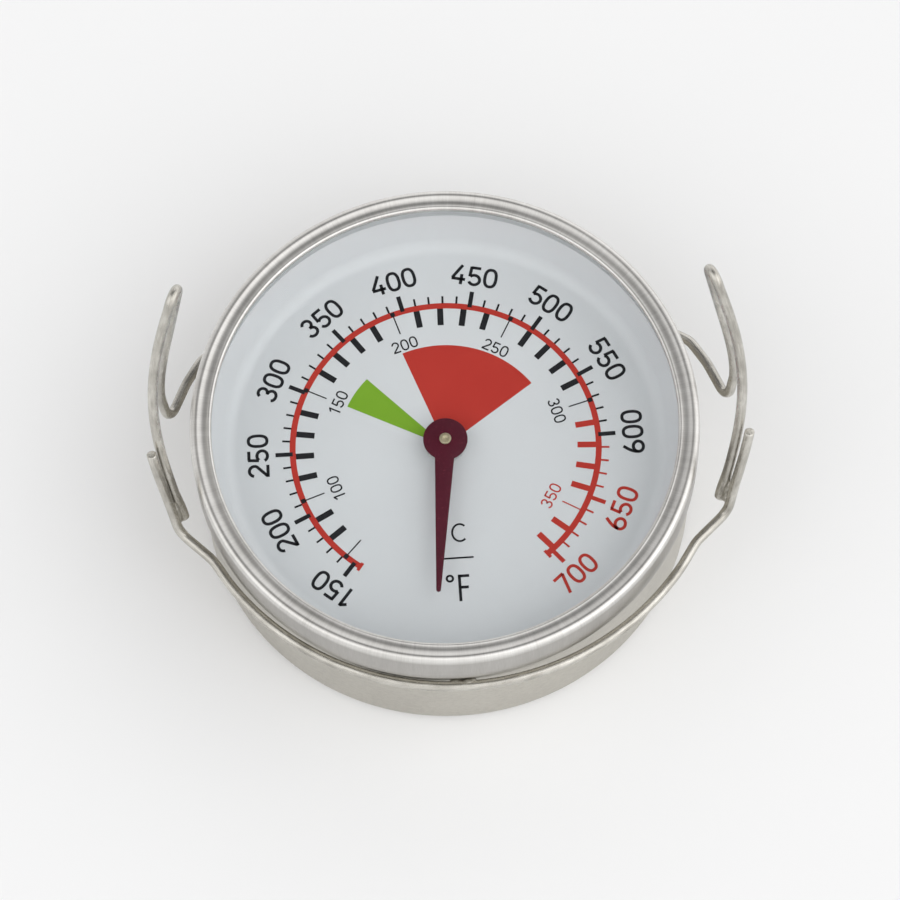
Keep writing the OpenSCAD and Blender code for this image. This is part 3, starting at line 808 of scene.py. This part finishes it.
def ring_weld(deg):
    """Lump of weld that wraps the wire and runs on to the cup's wall."""
    a = np.radians([deg - 4.2, deg + 4.2])
    r = TOUCH_R - SEAT
    p = np.stack([r * np.cos(a), r * np.sin(a), np.full(2, RING_Z)], -1)
    return bead(p[0], p[1], WIRE_R, deg)


for name, part in (
    ("right_handle_weld", leg_weld(1)),
    ("left_handle_weld", leg_weld(-1)),
    ("front_ring_weld", ring_weld(-88)),
    ("rear_ring_weld", ring_weld(90)),
):
    build(name.replace("weld", "bead"), [part], WELD, "case", [name], 60)


# ---------------------------------------------------------------- pointer and spindle


def pointer_outline(grow):
    """Outline of the pointer: the hub's arc from one side of the blade to the other, then the
    blade's straight sides and its rounded tip, all moved out by grow."""
    hub = HUB_R + grow
    root, tip = 1.45 + grow, 0.35 + grow
    reach = POINTER_LEN - 0.35
    start = math.asin(root / hub)
    a = np.linspace(start, 2 * np.pi - start, 88)
    hub_arc = np.stack([hub * np.cos(a), hub * np.sin(a)], -1)
    b = np.linspace(-np.pi / 2, np.pi / 2, 12)
    tip_arc = np.stack([reach + tip * np.cos(b), tip * np.sin(b)], -1)
    outline = np.concatenate([hub_arc, tip_arc])
    c, s = math.cos(math.radians(POINTER_DEG)), math.sin(math.radians(POINTER_DEG))
    return outline @ np.array([[c, s], [-s, c]])


def plate(levels):
    """Stack of outlines at rising heights, closed below and above by flat faces."""
    rings = [np.column_stack([o, np.full(len(o), z)]) for o, z in levels]
    n, count = len(levels[0][0]), len(levels)
    faces = quads(count, n, False, True)[:, ::-1].tolist()
    faces.append(list(range(n))[::-1])
    faces.append(list(range((count - 1) * n, count * n)))
    return np.concatenate(rings), faces


blade = plate(
    [
        (pointer_outline(-0.05), POINTER_Z),
        (pointer_outline(0.0), POINTER_Z + 0.06),
        (pointer_outline(0.0), POINTER_Z + POINTER_T - 0.1),
        (pointer_outline(-0.03), POINTER_Z + POINTER_T - 0.03),
        (pointer_outline(-0.1), POINTER_Z + POINTER_T),
    ]
)
build("pointer_blade", [blade], POINTER, "pointer", ["pointer"], 50)

boss_z = POINTER_Z - BOSS_H
boss_profile = rounded(
    [
        [SPINDLE_R + 0.02, boss_z],
        [BOSS_R, boss_z],
        [BOSS_R, POINTER_Z],
        [SPINDLE_R + 0.02, POINTER_Z],
    ],
    [0.02, 0.25, 0.2, 0.02],
    5,
)
build("boss_ring", [lathe(boss_profile, 96)], BOSS, "pointer", ["pointer_boss"])

stake_z = POINTER_Z + POINTER_T
spindle_profile = [
    [0, PIVOT_Z],
    [PIVOT_R - 0.08, PIVOT_Z],
    [PIVOT_R, PIVOT_Z + 0.1],
    [PIVOT_R, SHOULDER_Z],
    [SPINDLE_R, SHOULDER_Z],
    [SPINDLE_R, CLIP_Z],
    [SPINDLE_R - 0.2, CLIP_Z],
    [SPINDLE_R - 0.2, CLIP_Z + 0.3],
    [SPINDLE_R, CLIP_Z + 0.3],
    [SPINDLE_R, stake_z],
    [0.9, stake_z + 0.01],
    [0.91, stake_z + 0.08],
    [0.86, stake_z + 0.17],
    [0.74, stake_z + 0.235],
    [0.56, stake_z + 0.25],
    [0.40, stake_z + 0.235],
    [0.33, stake_z + 0.19],
    [0.20, stake_z + 0.12],
    [0.07, stake_z + 0.08],
    [0, stake_z + 0.075],
]
shaft = lathe_solid(spindle_profile, 64)
build("spindle_shaft", [shaft], STAKE, "pointer", ["spindle"], 40)


# ---------------------------------------------------------------- dial print

FIRST_F, LAST_F, FIRST_DEG, STEP_DEG = 150, 700, 231.95, 5.1004
PRINT_TURN = math.radians(1.7)
ARC_R, ARC_W = 23.0, 0.9
# Inner radius, outer radius and width of the arc's end bars and of the Fahrenheit ticks
ARC_STOP, F_MINOR, F_MAJOR = (22.35, 23.75, 0.5), (23.4, 24.6, 0.31), (23.0, 25.6, 0.66)
# Radius, height and stroke width, as a share of the height, of the two rings of numerals
F_NUMERAL, C_NUMERAL = (28.2, 3.2, 0.15), (17.7, 1.85, 0.13)
# Heights of the print over the enamel, in the order it is laid down
FIELD_LIFT, STOP_LIFT, SIGN_LIFT, TICK_LIFT = 0.010, 0.011, 0.013, 0.016


def f_angle(f):
    """Angle of a Fahrenheit reading, in radians anticlockwise from +X."""
    return np.radians(FIRST_DEG - (np.asarray(f, float) - FIRST_F) / 10 * STEP_DEG)


def c_angle(c):
    """The same for a Celsius reading."""
    return f_angle(np.asarray(c, float) * 1.8 + 32)


def lifted(xy, lift):
    """Points of the dial's face raised by lift."""
    return np.concatenate([xy, np.full((*xy.shape[:-1], 1), DIAL_Z + lift)], -1)


def ticks(angles, inner, outer, width, lift=TICK_LIFT):
    """One upward-facing strip at each angle, from radius inner to outer."""
    a = np.atleast_1d(angles)[:, None]
    out = np.stack([np.cos(a), np.sin(a)], -1)
    across = np.stack([-np.sin(a), np.cos(a)], -1) * width / 2
    r = np.array([inner, outer, outer, inner])[None, :, None]
    s = np.array([-1, -1, 1, 1])[None, :, None]
    corners = out * r + across * s
    return lifted(corners, lift).reshape(-1, 3), np.arange(len(corners) * 4).reshape(-1, 4)


def sector(from_deg, to_deg, inner, outer):
    """Part of a ring between two radii and two angles, facing up."""
    n = int(abs(to_deg - from_deg)) + 2
    a = arc_deg(from_deg, to_deg, n)[:, None]
    r = np.array([inner, outer])[None, :]
    xy = np.stack([r * np.cos(a), r * np.sin(a)], -1)
    return lifted(xy, FIELD_LIFT).reshape(-1, 3), quads(n, 2)[:, ::-1]


def oval(cx, cy, a, b, start, end, n=28, power=2.0):
    """Arc of an oval, squarer as power rises above 2."""
    t = np.radians(np.linspace(start, end, n))
    c, s = np.cos(t), np.sin(t)
    e = 2 / power
    return np.stack(
        [cx + a * np.sign(c) * np.abs(c) ** e, cy + b * np.sign(s) * np.abs(s) ** e], -1
    )


# Strokes of each sign in a box one unit high, centred on x = 0
SIGNS = {
    "0": [oval(0, 0.5, 0.265, 0.437, 0, 360, 60, 2.5)],
    "1": [[(0.1, 0.0), (0.1, 1.0)], [(0.1, 0.955), (-0.16, 0.75)]],
    "2": [
        np.concatenate([oval(0, 0.69, 0.25, 0.247, 172, -28, 26), [(-0.27, 0.075)]]),
        [(-0.31, 0.063), (0.3, 0.063)],
    ],
    "3": [
        oval(0, 0.72, 0.225, 0.217, 160, -90, 26),
        oval(0, 0.285, 0.25, 0.222, 90, -162, 28),
    ],
    "4": [
        [(0.12, 1.0), (-0.29, 0.3)],
        [(-0.32, 0.27), (0.33, 0.27)],
        [(0.14, 0.53), (0.14, 0.0)],
    ],
    "5": [
        [(-0.2, 0.937), (0.25, 0.937)],
        [(-0.2, 0.99), (-0.23, 0.47)],
        oval(0, 0.31, 0.262, 0.247, 142, -155, 30),
    ],
    "6": [
        oval(0, 0.3, 0.262, 0.237, 0, 360, 50),
        [(-0.262, 0.3), (-0.25, 0.44), (-0.2, 0.6), (-0.1, 0.78), (0.06, 1.0)],
    ],
    "7": [[(-0.27, 0.937), (0.3, 0.937)], [(0.275, 0.94), (-0.09, 0.0)]],
    "C": [oval(0, 0.5, 0.365, 0.437, 48, 312, 40)],
    "F": [[(-0.15, 0), (-0.15, 1)], [(-0.2, 0.945), (0.2, 0.945)], [(-0.15, 0.52), (0.16, 0.52)]],
    "o": [oval(0, 0.87, 0.11, 0.11, 0, 360, 28)],
}


def stroke(points, width):
    """Flat band along points, half of width to each side."""
    p = np.asarray(points, float)
    closed = np.allclose(p[0], p[-1])
    t = np.gradient(p, axis=0)
    if closed:
        t[0] = t[-1] = p[1] - p[-2]
    t = t / np.linalg.norm(t, axis=1)[:, None]
    side = np.stack([-t[:, 1], t[:, 0]], -1) * width / 2
    band = np.stack([p + side, p - side], 1)
    return band.reshape(-1, 2), quads(len(p), 2)[:, ::-1]


def lettering(text, height, weight, centre, turn, advance=0.76):
    """Signs in a row, centred on centre and turned, as flat bands facing up."""
    parts = []
    c, s = math.cos(turn), math.sin(turn)
    spin = np.array([[c, s], [-s, c]])
    for i, sign in enumerate(text):
        dx = (i - (len(text) - 1) / 2) * advance
        for strokes in SIGNS[sign]:
            xy, faces = stroke(np.asarray(strokes, float), weight)
            xy = ((xy + [dx, -0.5]) * height) @ spin + centre
            parts.append((lifted(xy, SIGN_LIFT), faces))
    return parts


def numeral(value, angle, r, height, weight, tops_out=True):
    """A reading beside its tick, tops away from the middle or towards it."""
    centre = r * np.array([np.cos(angle), np.sin(angle)])
    turn = angle - math.pi / 2 if tops_out else angle + math.pi / 2
    return lettering(str(value), height, weight, centre, turn)


def print_on_dial():
    """Both scales, the coloured zones and the units' marks, one piece per ink."""
    minor = np.array([f for f in range(FIRST_F, LAST_F + 1, 10) if f % 50])
    major = np.arange(FIRST_F, LAST_F + 1, 50)
    thick_c = np.array([c for c in range(80, 371, 10) if c % 50])
    thin_c = np.array([70, 100, 150, 200, 250, 300])
    red_from_f, red_from_c = 600, 305
    ends = np.degrees(f_angle([FIRST_F, LAST_F]))

    red = [sector(ends[1] - 2.0, ends[0] + 2.4, ARC_R - ARC_W / 2, ARC_R + ARC_W / 2)]
    red += [sector(36.1, 111.4, 1.7, 16.5)]
    red += [ticks(np.radians([ends[1] - 2.2, ends[0] + 2.6]), *ARC_STOP, STOP_LIFT)]
    red += [ticks(f_angle(minor[minor > red_from_f]), *F_MINOR)]
    red += [ticks(f_angle(major[major > red_from_f]), *F_MAJOR)]
    red += [ticks(c_angle(thick_c[thick_c > red_from_c]), 19.8, 22.6, 0.93)]
    red += [ticks(c_angle([350]), 19.6, 22.6, 0.2)]
    black = [ticks(f_angle(minor[minor < red_from_f]), *F_MINOR)]
    black += [ticks(f_angle(major[major <= red_from_f]), *F_MAJOR)]
    black += [ticks(c_angle(thick_c[thick_c < red_from_c]), 19.8, 22.55, 0.93)]
    black += [ticks(c_angle(thin_c), 19.6, 22.8, 0.2)]
    black += [ticks(c_angle(thin_c), 22.65, 23.35, 0.7)]
    green = [sector(135.3, 154.3, 1.7, 16.2)]

    for f in major:
        parts = numeral(f, f_angle(f), *F_NUMERAL, tops_out=f < 600)
        (red if f > red_from_f else black).extend(parts)
    for c in (100, 150, 200, 250, 300, 350):
        parts = numeral(c, c_angle(c), *C_NUMERAL, tops_out=c < 350)
        (red if c > red_from_c else black).extend(parts)

    c, s = math.cos(PRINT_TURN), math.sin(PRINT_TURN)
    turn = np.array([[c, s], [-s, c]])
    black += lettering("o", 3.1, 0.1, np.array([-1.1, -14.0]) @ turn, PRINT_TURN)
    black += lettering("C", 3.1, 0.1, np.array([1.2, -14.0]) @ turn, PRINT_TURN)
    black += lettering("o", 4.2, 0.08, np.array([-0.75, -22.75]) @ turn, PRINT_TURN)
    black += lettering("F", 4.2, 0.105, np.array([1.3, -22.75]) @ turn, PRINT_TURN)
    bar, bar_faces = stroke([(-1.4, -18.0), (3.0, -18.0)], 0.28)
    black += [(lifted(bar @ turn, SIGN_LIFT), bar_faces)]

    for name, parts, finish in (
        ("scale_black", black, BLACK),
        ("scale_red", red, RED),
        ("zone_green", green, GREEN),
    ):
        build(name, parts, finish, "case")


print_on_dial()


# ---------------------------------------------------------------- carried-over nodes

CARRIED = {
    "coil_collet": BRASS,
    "thrust_washer": STRAP,
    "retaining_clip": STRAP,
    "bimetal_coil": STRIP,
    "coil_anchor_post": STRAP,
    "movement_bridge": STRAP,
    "bridge_rivets": STRAP,
    "upper_bush": BRASS,
    "lower_bearing": BRASS,
}
for name, finish in CARRIED.items():
    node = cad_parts[name]
    for place in node.material_slots:
        place.material = finish


# ---------------------------------------------------------------- studio

LAMP_TARGET = (0, 0, 0.015)
# Side of the square view, and the dial's middle in it
VIEW_SIDE, DIAL_ACROSS, DIAL_DOWN = 900, 445.64, 446.15
# The camera stands CAMERA_UP above level in front of the part, which is turned by PART_TURN in
# its view. DISTANCE is how far the dial's middle lies in front of it, in radii of the printed
# arc. ARC_SEEN is that radius in the view, and FOCAL is in the same units.
CAMERA_UP, PART_TURN = math.radians(68.24), math.radians(2.2)
DISTANCE, ARC_SEEN = 28.96, 153.09
FOCAL = ARC_SEEN * DISTANCE
SENSOR = 36
# Dark patch of the surroundings: how high and how far left its middle lies, its spread up and
# down, its spread to the sides, and the share of light that its middle takes away
PATCH_UP, PATCH_SIDE, PATCH_HIGH, PATCH_WIDE, PATCH_DEPTH = math.radians(68), 0.06, 0.4, 0.7, 0.97
# Light gained towards the right
RIGHT_GAIN = 0.3


def floor():
    """A wide pale sheet that the object stands on."""
    f = Finish("studio_floor")
    at = f.node("ShaderNodeTexCoord", out="Object")
    mottle = f.noise(at, 14, 3)
    colour = f.blend(mottle, (0.86, 0.86, 0.862), (0.88, 0.88, 0.882))
    f.shade(colour, 0.85)
    half = 3.0
    mesh = bpy.data.meshes.new("floor")
    corners = [(-half, -half, 0), (half, -half, 0), (half, half, 0), (-half, half, 0)]
    mesh.from_pydata(corners, [], [(0, 1, 2, 3)])
    mesh.materials.append(f.material)
    sheet = bpy.data.objects.new("floor", mesh)
    bpy.context.scene.collection.objects.link(sheet)


def softbox(name, at, size, power):
    """Square area lamp of the given side, facing the middle of the part."""
    lamp = bpy.data.lights.new(name, "AREA")
    lamp.shape, lamp.size, lamp.size_y = "RECTANGLE", size, size
    lamp.energy = power
    box = bpy.data.objects.new(name, lamp)
    way = np.asarray(at, float) - LAMP_TARGET
    z = way / np.linalg.norm(way)
    x = np.cross([0, 0, 1.0], z)
    x = x / np.linalg.norm(x)
    y = np.cross(z, x)
    place = np.eye(4)
    place[:3, 0], place[:3, 1], place[:3, 2], place[:3, 3] = x, y, z, at
    box.matrix_world = Matrix(place.tolist())
    bpy.context.scene.collection.objects.link(box)


def set_camera():
    """The columns of the matrix seen are the world's axes as the camera sees them, and its rows
    are the camera's directions to the right, down and forward. The dial's middle lies at its
    measured place in front of the camera."""
    ex = np.array([math.cos(PART_TURN), -math.sin(PART_TURN), 0])
    flat = np.array([-math.sin(PART_TURN), -math.cos(PART_TURN), 0])
    ey = flat * math.sin(CAMERA_UP) + np.array([0, 0, 1]) * math.cos(CAMERA_UP)
    ez = flat * math.cos(CAMERA_UP) - np.array([0, 0, 1]) * math.sin(CAMERA_UP)
    seen = np.stack([ex, ey, ez], 1)
    right, down, forward = seen
    centre = VIEW_SIDE / 2
    off_axis = [(DIAL_ACROSS - centre) / FOCAL, (DIAL_DOWN - centre) / FOCAL, 1.0]
    dial = np.array(off_axis) * DISTANCE * ARC_R
    at = np.array([0, 0, DIAL_Z]) - seen.T @ dial
    place = np.eye(4)
    place[:3, 0], place[:3, 1], place[:3, 2] = right, -down, -forward
    place[:3, 3] = at * MM
    lens = bpy.data.cameras.new("camera")
    lens.sensor_width = SENSOR
    lens.lens = FOCAL / VIEW_SIDE * SENSOR
    lens.clip_start = 0.01
    view = bpy.data.objects.new("camera", lens)
    view.matrix_world = Matrix(place.tolist())
    bpy.context.scene.collection.objects.link(view)
    bpy.context.scene.camera = view


def surroundings(strength):
    """Soft white light, a little stronger from the right, but for a dark patch where the bezel's
    top face looks when it is seen from the camera: radiance = strength * (1 + RIGHT_GAIN * x) *
    (1 - PATCH_DEPTH * exp(-(s / PATCH_HIGH) ** 2 - ((x + PATCH_SIDE) / PATCH_WIDE) ** 2)), where
    x is the direction's part to the right and s the sine of its angle from the patch's middle."""
    f = Finish("studio", surroundings=True)
    at = f.node("ShaderNodeTexCoord", out="Generated")
    x, y, z = (f.node("ShaderNodeSeparateXYZ", None, {0: at}, out=i) for i in range(3))
    s = (z * math.cos(PATCH_UP) - y * math.sin(PATCH_UP)) * (1 / PATCH_HIGH)
    across = (x + PATCH_SIDE) * (1 / PATCH_WIDE)
    fade = s * s + across * across
    dark = fade.math("EXPONENT", fade * -1.0)
    level = (1.0 - dark * PATCH_DEPTH) * (1.0 + x * RIGHT_GAIN) * strength
    sky = f.node("ShaderNodeBackground", None, {"Color": (1, 1, 1, 1), "Strength": level})
    f.show(sky)
    bpy.context.scene.world = f.material


floor()
set_camera()
surroundings(1.12)
softbox("key", (0.9, -0.3, 1.0), 1.5, 4.5)
softbox("fill", (-1.0, -0.3, 0.9), 1.4, 4.0)
bpy.context.scene.view_settings.view_transform = "Standard"
